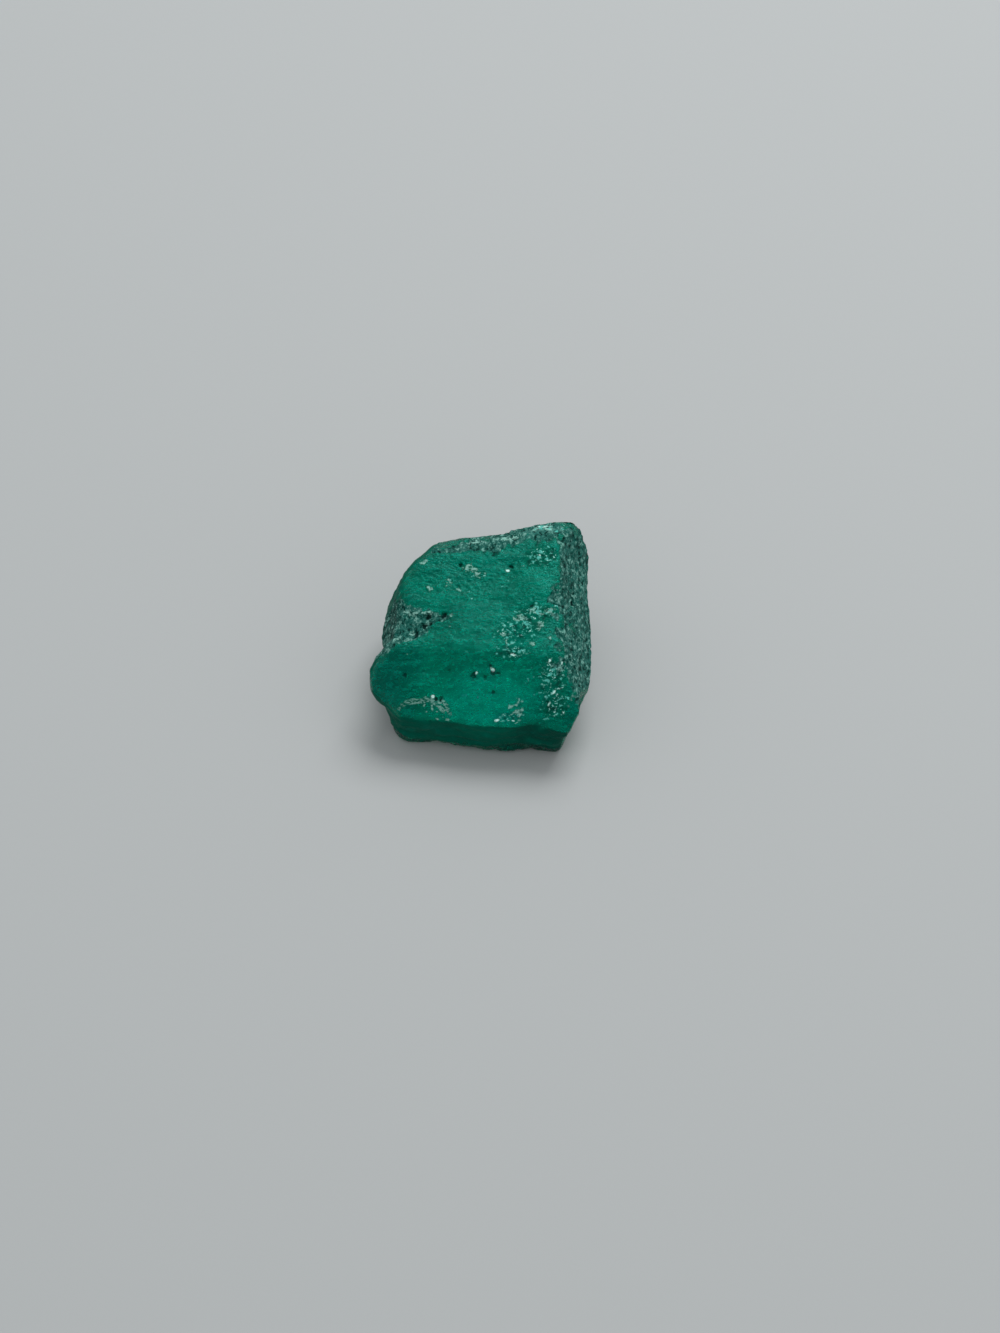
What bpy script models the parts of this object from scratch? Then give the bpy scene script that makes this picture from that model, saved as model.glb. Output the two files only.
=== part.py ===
"""A raw emerald crystal: a short six-sided prism that lies on one of its sides, broken off
at both ends and across the top, modelled as one closed solid.

Frame: metres, +Z up, origin at the middle of the bottom of the bounding box. +X is the
stone's right and -Y its front. The prism's own long axis runs along Y, so its natural sides
lean at about 30 degrees and meet at 120. Shapes are worked out in millimetres about CORE,
and the finished mesh is moved to its origin and scaled to metres.
"""

import math
import random

import bmesh
import bpy
from mathutils import Matrix, Vector, geometry, noise

NAME = "emerald_crystal"
MM = 0.001

# The point that every flat face is measured from, and the block that they are cut from, in mm.
CORE_HEIGHT = 3.2
CORE = Vector((0.0, -0.45, CORE_HEIGHT))
ROUGH_BLOCK = 40.0

# name: (azimuth, elevation) of the outward direction in degrees, distance from CORE in mm
FLAT_FACES = {
    "base": (0, -90, CORE_HEIGHT),
    "table": (-99.3, 76.5, 2.15),
    "front_slope": (-94.7, 50.1, 2.54),
    "front_under": (-96.1, -11.9, 4.68),
    "front_left_slope": (-118.0, 42.0, 3.65),
    "front_left_under": (-139.0, -17.0, 5.89),
    "front_right_under": (-20.0, -16.0, 6.02),
    "left_rim": (-168.0, 4.0, 5.98),
    "left_side": (169.0, 28.0, 4.78),
    "left_under": (171.0, -30.0, 4.80),
    "right_side": (-7.0, 28.5, 4.96),
    "right_under": (5.4, -23.8, 5.25),
    "top_side": (105.8, 75.7, 4.10),
    "back_left_slope": (146.0, 33.0, 5.28),
    "back_left": (140.0, 6.0, 5.74),
    "back": (96.0, 2.0, 5.52),
    "back_right": (38.0, 8.0, 7.85),
    "back_under": (96.0, -30.0, 5.21),
}

# Steps where a slice of the stone has split away: the floor that is left, then the wall
# that the slice broke against. Each is (azimuth, elevation, distance), as above.
SPLIT_STEPS = {
    "left_patch": [(-108.7, 69.0, 2.16), (118.0, 25.0, 1.68)],
    "left_step": [(174.0, 26.0, 4.62), (100.0, 5.0, 0.15)],
    "right_terrace": [(-7.0, 28.5, 4.80), (-7.0, 66.0, 3.38)],
    "top_step": [(105.8, 75.7, 3.99), (172.0, 12.0, 0.10)],
    "back_step": [(96.0, 2.0, 5.20), (150.0, 20.0, 0.60)],
    "left_under_terrace": [(171.0, -30.0, 4.62), (178.0, -78.0, 1.90)],
}

# Shell-shaped chips: (azimuth, elevation) of the chip from CORE, direction that it faces,
# radius of the shell and depth of the chip, in degrees and mm.
CHIPS = {
    "front_edge_left": ((-123, -4), (-103, 42), 2.5, 0.36),
    "front_edge_middle": ((-68, -2), (-95, 48), 1.3, 0.20),
    "front_edge_right": ((-50, -4), (-80, 34), 1.6, 0.18),
    "right_corner": ((-29, -3), (-40, 4), 1.5, 0.24),
    "back_rim": ((93, 28), (96, 45), 4.2, 0.24),
    "back_left_rim": ((128, 24), (135, 40), 2.0, 0.16),
    "back_face": ((96, -6), (98, 0), 4.2, 0.42),
    "back_corner": ((60, 0), (60, 10), 3.0, 0.32),
    "left_flank": ((-176, -14), (-179, -14), 2.6, 0.26),
}
CHIP_SUBDIVISIONS = 4

# Etched hollows in the upper faces: place from above, then radius and depth, in mm.
PITS = {
    "slope_left": ((-0.18, -3.33), 0.40, 0.20),
    "slope_right": ((0.45, -3.15), 0.45, 0.20),
    "slope_low": ((-2.25, -4.05), 0.40, 0.14),
    "patch_corner": ((-3.70, -1.00), 0.45, 0.22),
    "patch_middle": ((-3.00, -0.72), 0.48, 0.22),
    "patch_point": ((-2.05, -0.32), 0.42, 0.16),
    "table_left": ((-1.05, 2.52), 0.42, 0.15),
    "table_right": ((1.42, 2.32), 0.42, 0.13),
    "glitter_back": ((2.05, -0.40), 0.55, 0.10),
    "glitter_right": ((3.30, -0.40), 0.55, 0.12),
    "glitter_front": ((1.20, -1.30), 0.50, 0.10),
}

# Smaller hollows all over, deeper on the natural sides, in mm.
SCATTERED_PITS = 90
SCATTER_SEED = 5
SCATTER_SPACING = 0.95
SCATTER_RADIUS = (0.34, 0.58)
SCATTER_DEPTH = (0.07, 0.15)
SCATTER_RISE = (-0.6, 1.0)
PIT_RIM = 0.8
BREAK_PIT_SHARE = 0.3

# The natural sides of the prism, frosted and grooved along Y; the other faces are breaks.
NATURAL_SIDES = ("right_side", "right_under", "left_side", "left_under", "top_side")
NATURAL_SPREAD = math.radians(16)

# Unevenness of a break as (waves per mm, height), and of a natural side, in mm.
BREAK_WAVES = ((0.35, 0.16), (0.90, 0.06), (1.90, 0.03))
SIDE_WAVE = (0.80, 0.05)
GROOVE_SPACING = 1.15
GROOVE_DEPTH = 0.05
GROOVE_RISE = 0.6
GROOVE_WANDER = (0.60, 0.50)

# The mesh: length of its edges in mm, and the angles that tell a flat from a crease.
EDGE = 0.37
BASE_EDGE = 1.2
SPLIT_FACTOR = 1.34
SHORTEST_EDGE = 0.09
FLAT_ANGLE = math.radians(3)
COPLANAR_ANGLE = math.radians(1)
CREASE_ANGLE = math.radians(16)
REFINE_ROUNDS = 7
LEAST_FACE_TURN = 0.45
CREASE_WEAR = 0.30
LOWEST_SIDE = 0.02

GREEN = (0.003, 0.14, 0.09, 1.0)
ROUGHNESS = 0.28


def direction(azimuth, elevation):
    """The unit vector at an azimuth from +X and an elevation from the horizontal."""
    turn, rise = math.radians(azimuth), math.radians(elevation)
    level = math.cos(rise)
    return Vector((math.cos(turn) * level, math.sin(turn) * level, math.sin(rise)))


def smooth_step(low, high, value):
    """0 below low, 1 above high, and an even curve between them."""
    part = min(1.0, max(0.0, (value - low) / (high - low)))
    return part * part * (3 - 2 * part)


def mesh_object(name, block):
    """A scene object from a closed bmesh, which is freed."""
    bmesh.ops.recalc_face_normals(block, faces=block.faces[:])
    mesh = bpy.data.meshes.new(name)
    block.to_mesh(mesh)
    block.free()
    obj = bpy.data.objects.new(name, mesh)
    bpy.context.scene.collection.objects.link(obj)
    return obj


def flat_block(name, planes, keep_outside=False):
    """A block cut flat by each plane, on whose inner side it lies, or on the outer side."""
    block = bmesh.new()
    bmesh.ops.create_cube(block, size=ROUGH_BLOCK)
    for azimuth, elevation, distance in planes:
        out = direction(azimuth, elevation)
        bmesh.ops.bisect_plane(
            block,
            geom=block.verts[:] + block.edges[:] + block.faces[:],
            plane_co=CORE + out * distance,
            plane_no=out,
            clear_outer=not keep_outside,
            clear_inner=keep_outside,
        )
        rim = [edge for edge in block.edges if edge.is_boundary]
        bmesh.ops.contextual_create(block, geom=rim)
    return mesh_object(name, block)


def surface_point(stone, azimuth, elevation):
    """Where the ray from CORE in a direction leaves the stone."""
    found, point, _, _ = stone.ray_cast(CORE, direction(azimuth, elevation))
    if not found:
        raise ValueError("no surface in that direction")
    return point


def top_point(stone, x, y):
    """The stone's surface straight above a point of its base plane."""
    found, point, _, _ = stone.ray_cast(Vector((x, y, ROUGH_BLOCK)), Vector((0.0, 0.0, -1.0)))
    if not found:
        raise ValueError("no stone above that point")
    return point


def chip_shell(name, stone, place, facing, radius, depth):
    """The ball that leaves a shell-shaped chip of a given depth."""
    out = direction(*facing)
    centre = surface_point(stone, *place) + out * (radius - depth)
    ball = bmesh.new()
    bmesh.ops.create_icosphere(
        ball, subdivisions=CHIP_SUBDIVISIONS, radius=radius, matrix=Matrix.Translation(centre)
    )
    return mesh_object(name, ball)


def carve(stone, cutter):
    """Takes the cutter's shape out of the stone, and removes the cutter."""
    boolean = stone.modifiers.new(cutter.name, "BOOLEAN")
    boolean.operation = "DIFFERENCE"
    boolean.solver = "EXACT"
    boolean.object = cutter
    graph = bpy.context.evaluated_depsgraph_get()
    carved = bpy.data.meshes.new_from_object(stone.evaluated_get(graph))
    stone.modifiers.clear()
    stone.data = carved
    bpy.data.objects.remove(cutter)
    bpy.context.view_layer.update()


def on_base(face):
    """Whether a face is part of the flat underside that the stone rests on."""
    return face.normal.z < -math.cos(COPLANAR_ANGLE)


def is_crease(edge):
    """Whether two faces meet along an edge at more than a slight angle."""
    return edge.calc_face_angle(0) > CREASE_ANGLE


def split_long_edges(mesh):
    """Halves each edge that is too long, and makes even triangles of the faces."""
    too_long = []
    for edge in mesh.edges:
        limit = BASE_EDGE if all(on_base(face) for face in edge.link_faces) else EDGE
        if edge.calc_length() > SPLIT_FACTOR * limit:
            too_long.append(edge)
    bmesh.ops.subdivide_edges(mesh, edges=too_long, cuts=1)
    bmesh.ops.triangulate(mesh, faces=[face for face in mesh.faces if len(face.verts) > 3])
    bmesh.ops.dissolve_degenerate(mesh, dist=SHORTEST_EDGE, edges=mesh.edges[:])
    bmesh.ops.triangulate(mesh, faces=[face for face in mesh.faces if len(face.verts) > 3])
    flat = [edge for edge in mesh.edges if edge.calc_face_angle(0) < FLAT_ANGLE]
    bmesh.ops.beautify_fill(mesh, faces=mesh.faces[:], edges=flat)


def move_unless_folded(vert, place):
    """Moves a point, but not where that would fold or turn over one of its faces."""
    for face in vert.link_faces:
        corners = [place if corner is vert else corner.co for corner in face.verts]
        if geometry.normal(corners).dot(face.normal) < LEAST_FACE_TURN:
            return
    vert.co = place


def even_out(mesh):
    """Slides each point towards the middle of its neighbours, or along the crease it is on."""
    mesh.normal_update()
    for vert in mesh.verts:
        creases = [edge for edge in vert.link_edges if is_crease(edge)]
        if len(creases) not in (0, 2):
            continue
        around = [edge.other_vert(vert).co for edge in creases or vert.link_edges]
        middle = sum(around, Vector()) / len(around)
        move_unless_folded(vert, vert.co.lerp(middle, 0.5))


def refined(stone):
    """The stone's mesh as small even triangles, with every crease kept."""
    mesh = bmesh.new()
    mesh.from_mesh(stone.data)
    bmesh.ops.dissolve_degenerate(mesh, dist=SHORTEST_EDGE / 3, edges=mesh.edges[:])
    bmesh.ops.dissolve_limit(
        mesh, angle_limit=COPLANAR_ANGLE, verts=mesh.verts[:], edges=mesh.edges[:]
    )
    bmesh.ops.triangulate(mesh, faces=mesh.faces[:])
    for _ in range(REFINE_ROUNDS):
        split_long_edges(mesh)
        even_out(mesh)
    return mesh


def natural_share(out):
    """1 where the surface faces as a natural side of the prism does, 0 on a break."""
    sides = (direction(*FLAT_FACES[name][:2]) for name in NATURAL_SIDES)
    nearest = max(side.dot(out) for side in sides)
    return smooth_step(math.cos(NATURAL_SPREAD), math.cos(NATURAL_SPREAD / 2), nearest)


def grooves(point, out):
    """Depth of the low steps along Y that the natural sides grew with."""
    across = point.dot(out.cross(Vector((0.0, 1.0, 0.0))))
    pitch, wander = GROOVE_WANDER
    phase = (across + wander * noise.noise(point * pitch)) / GROOVE_SPACING % 1.0
    return GROOVE_DEPTH * smooth_step(0.0, GROOVE_RISE, phase)


def scattered_places(stone):
    """Points spread over the stone, no two of them near each other."""
    chance = random.Random(SCATTER_SEED)
    places = []
    while len(places) < SCATTERED_PITS:
        azimuth = chance.uniform(-180, 180)
        elevation = math.degrees(math.asin(chance.uniform(*SCATTER_RISE)))
        place = surface_point(stone, azimuth, elevation)
        if all((place - other).length > SCATTER_SPACING for other in places):
            places.append(place)
    return places


def all_pits(stone):
    """(centre, radius, depth) of each hollow, the placed ones and the scattered ones."""
    placed = [(top_point(stone, *place), radius, depth) for place, radius, depth in PITS.values()]
    chance = random.Random(SCATTER_SEED + 1)
    scattered = []
    for place in scattered_places(stone):
        radius = chance.uniform(*SCATTER_RADIUS)
        scattered.append((place, radius, chance.uniform(*SCATTER_DEPTH)))
    return placed, scattered


def hollow(point, pits):
    """How deep the deepest pit is at a point."""
    depths = [0.0]
    for centre, radius, depth in pits:
        near = 1 - (point - centre).length / radius
        depths.append(depth * smooth_step(0.0, PIT_RIM, near))
    return max(depths)


def relief(point, out, placed_pits, scattered_pits):
    """How far the surface stands out from its flat face at a point, in mm."""
    natural = natural_share(out)
    waves = sum(height * noise.noise(point * pitch) for pitch, height in BREAK_WAVES)
    pitch, height = SIDE_WAVE
    side = height * noise.noise(point * pitch) - grooves(point, out)
    share = BREAK_PIT_SHARE + (1 - BREAK_PIT_SHARE) * natural
    pits = max(hollow(point, placed_pits), share * hollow(point, scattered_pits))
    return (1 - natural) * waves + natural * side - pits


def weather(mesh, placed_pits, scattered_pits):
    """Gives the faces their relief and dulls the creases; the base stays flat."""
    mesh.normal_update()
    places = {}
    for vert in mesh.verts:
        if any(on_base(face) for face in vert.link_faces):
            continue
        height = relief(vert.co, vert.normal, placed_pits, scattered_pits)
        place = vert.co + vert.normal * height
        if any(is_crease(edge) for edge in vert.link_edges):
            around = [edge.other_vert(vert).co for edge in vert.link_edges]
            middle = sum(around, Vector()) / len(around)
            place += (middle - vert.co) * CREASE_WEAR
        place.z = max(place.z, LOWEST_SIDE)
        places[vert] = place
    for vert, place in places.items():
        move_unless_folded(vert, place)


def settle(mesh):
    """Moves the mesh so that the middle of its box is over the origin, and scales it to metres."""
    lowest = Vector(min(vert.co[axis] for vert in mesh.verts) for axis in range(3))
    highest = Vector(max(vert.co[axis] for vert in mesh.verts) for axis in range(3))
    middle = (lowest + highest) / 2
    origin = Vector((middle.x, middle.y, lowest.z))
    bmesh.ops.translate(mesh, vec=-origin, verts=mesh.verts[:])
    bmesh.ops.scale(mesh, vec=(MM, MM, MM), verts=mesh.verts[:])


def emerald_material():
    """Deep green, glassy and a little worn."""
    material = bpy.data.materials.new("emerald")
    material.use_nodes = True
    surface = material.node_tree.nodes["Principled BSDF"]
    surface.inputs["Base Color"].default_value = GREEN
    surface.inputs["Roughness"].default_value = ROUGHNESS
    surface.inputs["Metallic"].default_value = 0.0
    material.diffuse_color = GREEN
    return material


def emerald_crystal():
    """The whole stone: flat faces, then steps and chips, then its fine unevenness."""
    stone = flat_block(NAME, FLAT_FACES.values())
    for name, planes in SPLIT_STEPS.items():
        carve(stone, flat_block(name, planes, keep_outside=True))
    for name, (place, facing, radius, depth) in CHIPS.items():
        carve(stone, chip_shell(name, stone, place, facing, radius, depth))
    mesh = refined(stone)
    weather(mesh, *all_pits(stone))
    settle(mesh)
    mesh.to_mesh(stone.data)
    mesh.free()
    stone.data.materials.clear()
    stone.data.materials.append(emerald_material())
    stone.data.shade_flat()
    return stone


def main():
    for old in list(bpy.data.objects):
        bpy.data.objects.remove(old)
    emerald_crystal()


if __name__ == "__main__":
    main()
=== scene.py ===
"""A raw emerald crystal on a plain studio stage, laid out as a Blender add-on.

Frame: metres, +Z up, with the origin under the middle of the stone. Shapes are worked out in
millimetres, and a place on the stone is given by its x and y as seen from above.
"""

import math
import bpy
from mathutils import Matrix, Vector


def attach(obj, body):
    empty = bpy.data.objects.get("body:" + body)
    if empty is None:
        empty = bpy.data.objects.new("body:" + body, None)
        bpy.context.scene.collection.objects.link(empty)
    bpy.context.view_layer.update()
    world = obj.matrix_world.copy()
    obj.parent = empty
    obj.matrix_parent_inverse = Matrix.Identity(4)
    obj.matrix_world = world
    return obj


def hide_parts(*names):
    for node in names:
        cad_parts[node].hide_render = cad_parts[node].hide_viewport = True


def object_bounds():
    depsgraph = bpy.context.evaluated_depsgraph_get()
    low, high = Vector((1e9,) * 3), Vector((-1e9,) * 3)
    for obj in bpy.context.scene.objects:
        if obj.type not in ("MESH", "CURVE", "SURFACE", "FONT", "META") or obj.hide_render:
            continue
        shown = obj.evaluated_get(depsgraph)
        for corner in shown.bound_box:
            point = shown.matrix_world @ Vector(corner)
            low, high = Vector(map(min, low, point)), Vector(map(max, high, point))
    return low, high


bl_info = {
    "name": "Raw Emerald Crystal",
    "version": (1, 0, 0),
    "blender": (4, 5, 0),
    "location": "3D View > Sidebar > Crystal",
    "description": "Weathered surface, finish and stage of a raw emerald crystal",
    "category": "Object",
}

import bmesh
import bpy
import numpy as np
from bpy.props import FloatProperty, FloatVectorProperty, IntProperty, PointerProperty
from bpy.types import Operator, Panel, PropertyGroup
from mathutils import Vector, noise

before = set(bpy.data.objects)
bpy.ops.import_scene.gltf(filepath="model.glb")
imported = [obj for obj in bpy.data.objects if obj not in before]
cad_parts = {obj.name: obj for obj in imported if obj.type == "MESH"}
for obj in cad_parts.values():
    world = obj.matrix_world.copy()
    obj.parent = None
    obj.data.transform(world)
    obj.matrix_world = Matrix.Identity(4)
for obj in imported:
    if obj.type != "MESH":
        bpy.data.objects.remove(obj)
CAD_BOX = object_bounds()

NODE = "emerald_crystal"
SURFACE = "emerald_surface"
MM = 0.001
X, Y, Z = range(3)
EVEN = (1.0, 1.0, 1.0)
# Points nearer to each other than this are one, in metres.
WELD = 0.000001
# The stage, in metres, and the width of the film, in mm.
LAMP_DISTANCE = 0.35
FLOOR_DROP = 0.00002
FILM_WIDTH = 36.0

# The natural sides of the prism: azimuth and elevation that each faces, in degrees, how far
# from that a surface may face and be all frosted or not at all, and how far this wanders.
NATURAL_SIDES = ((-7, 28.5), (-1, 2.5), (5.4, -23.8), (171, -30), (105.8, 75.7))
NATURAL_SPREAD = (7, 19)
NATURAL_WANDER = 4

# Outlines of frosted ground on the upper faces: how far the edge wanders, how far it fades,
# and its corners as (x, y), in mm.
FROSTED_GROUND = {
    "left_patch": (0.20, 0.20, (
        (-5.6, 1.9), (-4.5, 1.55), (-3.90, 0.75), (-2.85, 0.08), (-1.49, -0.10), (-1.55, -0.26),
        (-2.35, -0.69), (-2.84, -1.05), (-3.32, -1.45), (-3.89, -1.66), (-4.54, -1.86),
        (-5.6, -1.95))),
    "top_ledge": (0.35, 0.30, (
        (-1.9, 6.0), (-1.79, 4.40), (-0.95, 4.02), (-0.30, 3.55), (0.20, 3.38), (0.72, 3.42),
        (1.29, 3.66), (2.02, 3.90), (3.33, 4.02), (4.43, 4.25), (6.0, 4.4), (6.0, 6.0))),
    "right_band": (0.80, 0.50, (
        (4.60, 6.0), (4.50, 4.37), (4.25, 3.2), (4.10, 1.90), (3.98, 0.8), (3.95, -0.60),
        (4.08, -2.18), (4.45, -3.56), (4.85, -4.34), (6.5, -4.5), (6.5, 6.0))),
}
# How much each mark counts towards a covered face, and the least that covers one.
COVERS = {"frost": 1.0, "haze": 1.0, "fleck_glint": 1.0, "painted_glint": 1.0, "rim": 1.0, "shell": 0.6,
          "glitter": 0.6}
LEAST_COVER = 0.22
# How much a face has to look up, from not at all to fully, to carry each of these.
LOOKS_UP = {"frosted_ground": (0.0, 0.3), "marks": (0.15, 0.4), "hollows": (0.1, 0.35),
            "soft": (0.35, 0.6)}
# Where each of these starts along an axis and where it is full, in mm.
STARTS = {
    "front": (Y, -4.2, -4.8),
    "above_base": (Z, 1.0, 1.6),
    "behind_front": (Y, -4.3, -3.5),
    "off_floor": (Z, 0.02, 0.25),
    "deep_gloom": (X, 1.0, 3.5),
    "dark_under": (X, 0.5, 3.0),
    "shell": (Z, 0.3, 0.9),
}
# Layers of smooth noise, each with its waves per mm, its strength and its stretch.
PATTERNS = {
    "wander": ((2.6, 0.45, EVEN), (7.0, 0.25, EVEN)),
    "natural_edge": ((1.3, 1.0, EVEN),),
    "ground_edge": ((0.8, 1.0, EVEN), (2.2, 1.0, EVEN), (5.0, 0.5, EVEN)),
    "grit": ((4.6, 1.0, (0.8, 1.1, 1.1)), (8.0, 0.5, EVEN)),
    "lace": ((3.9, 1.0, (0.75, 1.25, 1.25)), (8.5, 0.8, EVEN)),
    "crumbs": ((5.2, 1.0, (0.75, 1.2, 1.2)), (9.5, 0.6, EVEN)),
    "streaks": ((1.1, 1.0, (0.5, 1.0, 1.5)), (4.0, 0.4, EVEN)),
    "hidden_crush": ((0.7, 1.0, EVEN),),
    "ragged": ((6.0, 0.7, EVEN),),
    "etched": ((2.1, 0.9, EVEN), (2.6, 0.6, (1.0, 0.28, 1.0))),
    "ripples": ((1.1, 0.9, (0.55, 1.9, 1.9)), (4.5, 0.35, EVEN)),
    "shell_waves": ((1.5, 1.0, (0.8, 1.0, 1.6)),),
    "wear": ((1.7, 1.0, EVEN), (4.0, 0.6, EVEN)),
    "rounding": ((0.9, 1.0, EVEN),),
}
# Pits, where some cells have one each: the size of a cell and a pit's outer and inner radius, in
# mm, the chance that a cell has to pass and its axis, and the depth as a share of the relief.
PITS = {
    "etched_pits": (0.34, 0.16, 0.05, 0.0, X, 1.1),
    "etched_nicks": (0.19, 0.10, 0.03, 0.2, X, 0.7),
    "break_nicks": (0.85, 0.15, 0.05, 0.35, Y, 1.6),
}
# Picks which random vector each cell gets.
CELL_SEED = 7.3
# Small facets in crushed ground: how wide they are, in mm, how much they lean, and the most
# that they rise.
FACET_WIDTH, FACET_LEAN, FACET_RISE = 0.26, 0.45, 0.05
# Clean ground inside the frost, laid out as the marks below.
CLEARED = {
    "upper_corner": (4.15, 5.25, 0.90, 0.55, -10, 1.0),
    "ledge_end": (-1.50, 4.35, 0.95, 0.60, 10, 1.0),
}

# Round or oval marks on the upper faces: (x, y, half length, half width, turn, strength),
# in mm and degrees.
HAZE = {
    "mottle_back": (-0.45, 2.35, 0.70, 0.42, -20, 0.72),
    "mottle_left": (-1.55, 1.55, 0.28, 0.50, 0, 0.72),
    "mottle_middle": (-0.15, 2.20, 0.42, 0.28, -25, 0.75),
    "mottle_low": (-1.00, 1.30, 0.30, 0.22, 0, 0.60),
    "mottle_far_left": (-2.70, 1.35, 0.30, 0.22, 20, 0.70),
    "back_spot": (1.38, 2.28, 0.20, 0.10, -25, 1.30),
    "left_bar": (-2.84, 2.82, 0.24, 0.12, 40, 1.00),
    "speckle_1": (2.00, -0.42, 0.44, 0.24, 15, 1.50),
    "speckle_2": (2.82, -0.12, 0.34, 0.20, -10, 1.40),
    "smear_high": (3.42, -0.15, 0.38, 0.26, 30, 1.50),
    "smear_low": (3.12, -0.85, 0.20, 0.52, -22, 1.30),
    "spot_left": (1.15, -1.29, 0.24, 0.20, 0, 1.20),
    "spot_low": (1.40, -1.72, 0.26, 0.22, 20, 0.90),
    "spot_right": (2.67, -1.94, 0.22, 0.26, -20, 0.90),
    "spot_far_right": (3.53, -1.50, 0.16, 0.26, 0, 0.75),
    "front_chip": (1.84, -4.52, 0.40, 0.46, -30, 1.15),
    "front_chip_low": (2.02, -4.93, 0.26, 0.12, 0, 0.95),
    "ledge_left": (-0.40, 3.97, 0.50, 0.18, 0, 0.75),
    "ledge_middle": (0.60, 3.80, 0.50, 0.13, 0, 0.80),
    "ledge_right": (1.45, 4.12, 0.50, 0.17, 10, 0.85),
    "ledge_speckle": (3.15, 4.66, 0.78, 0.28, 0, 1.25),
    "arc_shade": (-2.30, -4.45, 0.75, 0.28, -25, 0.50),
    "right_low": (4.05, -3.15, 0.30, 0.30, 0, 0.55),
    "right_edge": (4.98, -3.30, 0.20, 0.26, 0, 0.75),
    "patch_corner": (-3.62, -1.05, 0.28, 0.14, 15, 1.20),
    "patch_inner": (-3.76, 0.14, 0.30, 0.18, 0, 1.05),
    "patch_upper": (-2.95, 0.02, 0.60, 0.10, -8, 0.90),
    "patch_low": (-4.40, -1.20, 0.34, 0.18, 0, 1.05),
    "patch_left": (-4.75, -0.20, 0.22, 0.30, 0, 0.70),
    "patch_point": (-1.53, -0.17, 0.14, 0.09, 0, 1.00),
}
# Crushed ground that glitters: small facets in its relief, with painted glints and painted shade
# in their gaps, laid out as the marks above.
GLITTER = {
    "back_cluster": (3.05, 2.98, 1.15, 0.62, 5, 1.00),
    "ledge_cluster": (3.25, 4.72, 0.90, 0.40, 0, 1.00),
    "middle": (-0.45, 0.80, 0.60, 0.40, 0, 0.34),
    "right_upper": (2.90, -0.30, 1.25, 0.60, 0, 1.00),
    "right_middle": (1.95, -1.10, 1.35, 0.80, 10, 1.00),
    "right_lower": (1.65, -2.30, 1.00, 0.42, 0, 1.00),
    "slope_middle": (-0.50, -3.78, 1.05, 0.48, -15, 0.34),
    "slope_right": (3.70, -3.60, 0.90, 1.30, 0, 0.75),
    "slope_dashes": (2.30, -3.35, 0.90, 0.42, 0, 0.36),
    "step": (3.75, -4.55, 0.85, 0.60, 0, 0.95),
    "front_chip": (1.45, -4.75, 0.90, 0.22, 0, 0.85),
    "table_back": (0.60, 1.55, 2.60, 1.00, 0, 0.22),
    "table_left": (-2.45, 1.50, 1.00, 0.90, 0, 0.22),
    "table_mottle": (-0.60, 1.75, 1.35, 0.95, -10, 0.35),
}
# Painted glints: the brightest points, painted into the colour, laid out as the marks above.
PAINTED_GLINTS = {
    "pair_left": (-0.20, -3.12, 0.09, 0.06, 20, 1.0),
    "pair_middle": (0.22, -3.16, 0.06, 0.05, 0, 0.7),
    "pair_right": (0.62, -2.98, 0.10, 0.06, -30, 1.0),
    "low_left": (-2.46, -3.92, 0.09, 0.05, 10, 1.0),
    "back_spot": (1.36, 2.30, 0.16, 0.08, -25, 1.0),
    "ledge": (3.30, 4.72, 0.22, 0.08, -10, 1.0),
    "ledge_left": (3.02, 4.70, 0.08, 0.07, 0, 1.0),
    "lower_right": (1.64, -2.46, 0.15, 0.05, -15, 1.0),
    "spot_left": (1.13, -1.27, 0.10, 0.06, 0, 0.8),
    "slope_right": (3.50, -2.82, 0.13, 0.05, 45, 0.9),
    "slope_far_right": (4.16, -2.88, 0.10, 0.05, 60, 0.8),
    "step": (3.72, -4.05, 0.12, 0.05, 40, 0.9),
    "step_low": (3.45, -4.55, 0.12, 0.06, 45, 0.8),
    "step_right": (4.20, -4.86, 0.07, 0.05, 0, 0.9),
    "front_low": (0.80, -4.82, 0.16, 0.045, 0, 0.9),
    "front_low_right": (1.66, -4.90, 0.13, 0.045, -20, 0.9),
    "patch_point": (-1.60, -0.85, 0.07, 0.06, 0, 0.7),
    "shoulder": (-3.78, -2.25, 0.07, 0.05, 0, 0.6),
    "cluster": (3.05, 3.10, 0.09, 0.06, 0, 0.9),
}
# Small steep hollows, painted dark inside as painted shade: (x, y, radius, depth) in mm.
HOLLOWS = {
    "pair_left": (-0.32, -3.22, 0.18, 0.14),
    "pair_middle": (0.26, -3.26, 0.13, 0.10),
    "pair_right": (0.62, -3.10, 0.16, 0.12),
    "pair_over": (0.50, -2.86, 0.12, 0.08),
    "pair_far": (0.88, -3.12, 0.14, 0.12),
    "low_left": (-2.28, -3.98, 0.11, 0.08),
    "low_left_tail": (-2.06, -4.02, 0.12, 0.08),
    "mottle": (-1.05, 2.66, 0.15, 0.15),
    "back_spot": (1.56, 2.54, 0.15, 0.14),
    "patch_upper": (-2.70, -0.22, 0.20, 0.18),
    "patch_middle": (-2.92, -0.66, 0.19, 0.19),
    "patch_middle_low": (-2.62, -0.62, 0.14, 0.14),
    "patch_lower": (-3.34, -1.12, 0.22, 0.20),
    "patch_point": (-1.92, -0.14, 0.20, 0.16),
    "patch_edge": (-4.72, 1.20, 0.20, 0.14),
    "slope_left": (-1.62, -2.95, 0.12, 0.08),
    "slope_far_left": (-3.85, -3.05, 0.16, 0.08),
    "slope_middle": (0.62, -3.86, 0.14, 0.08),
    "right_upper": (4.66, 0.95, 0.16, 0.16),
    "right_top": (4.50, 2.10, 0.14, 0.14),
    "table_right": (2.60, 0.15, 0.12, 0.10),
}
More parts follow.
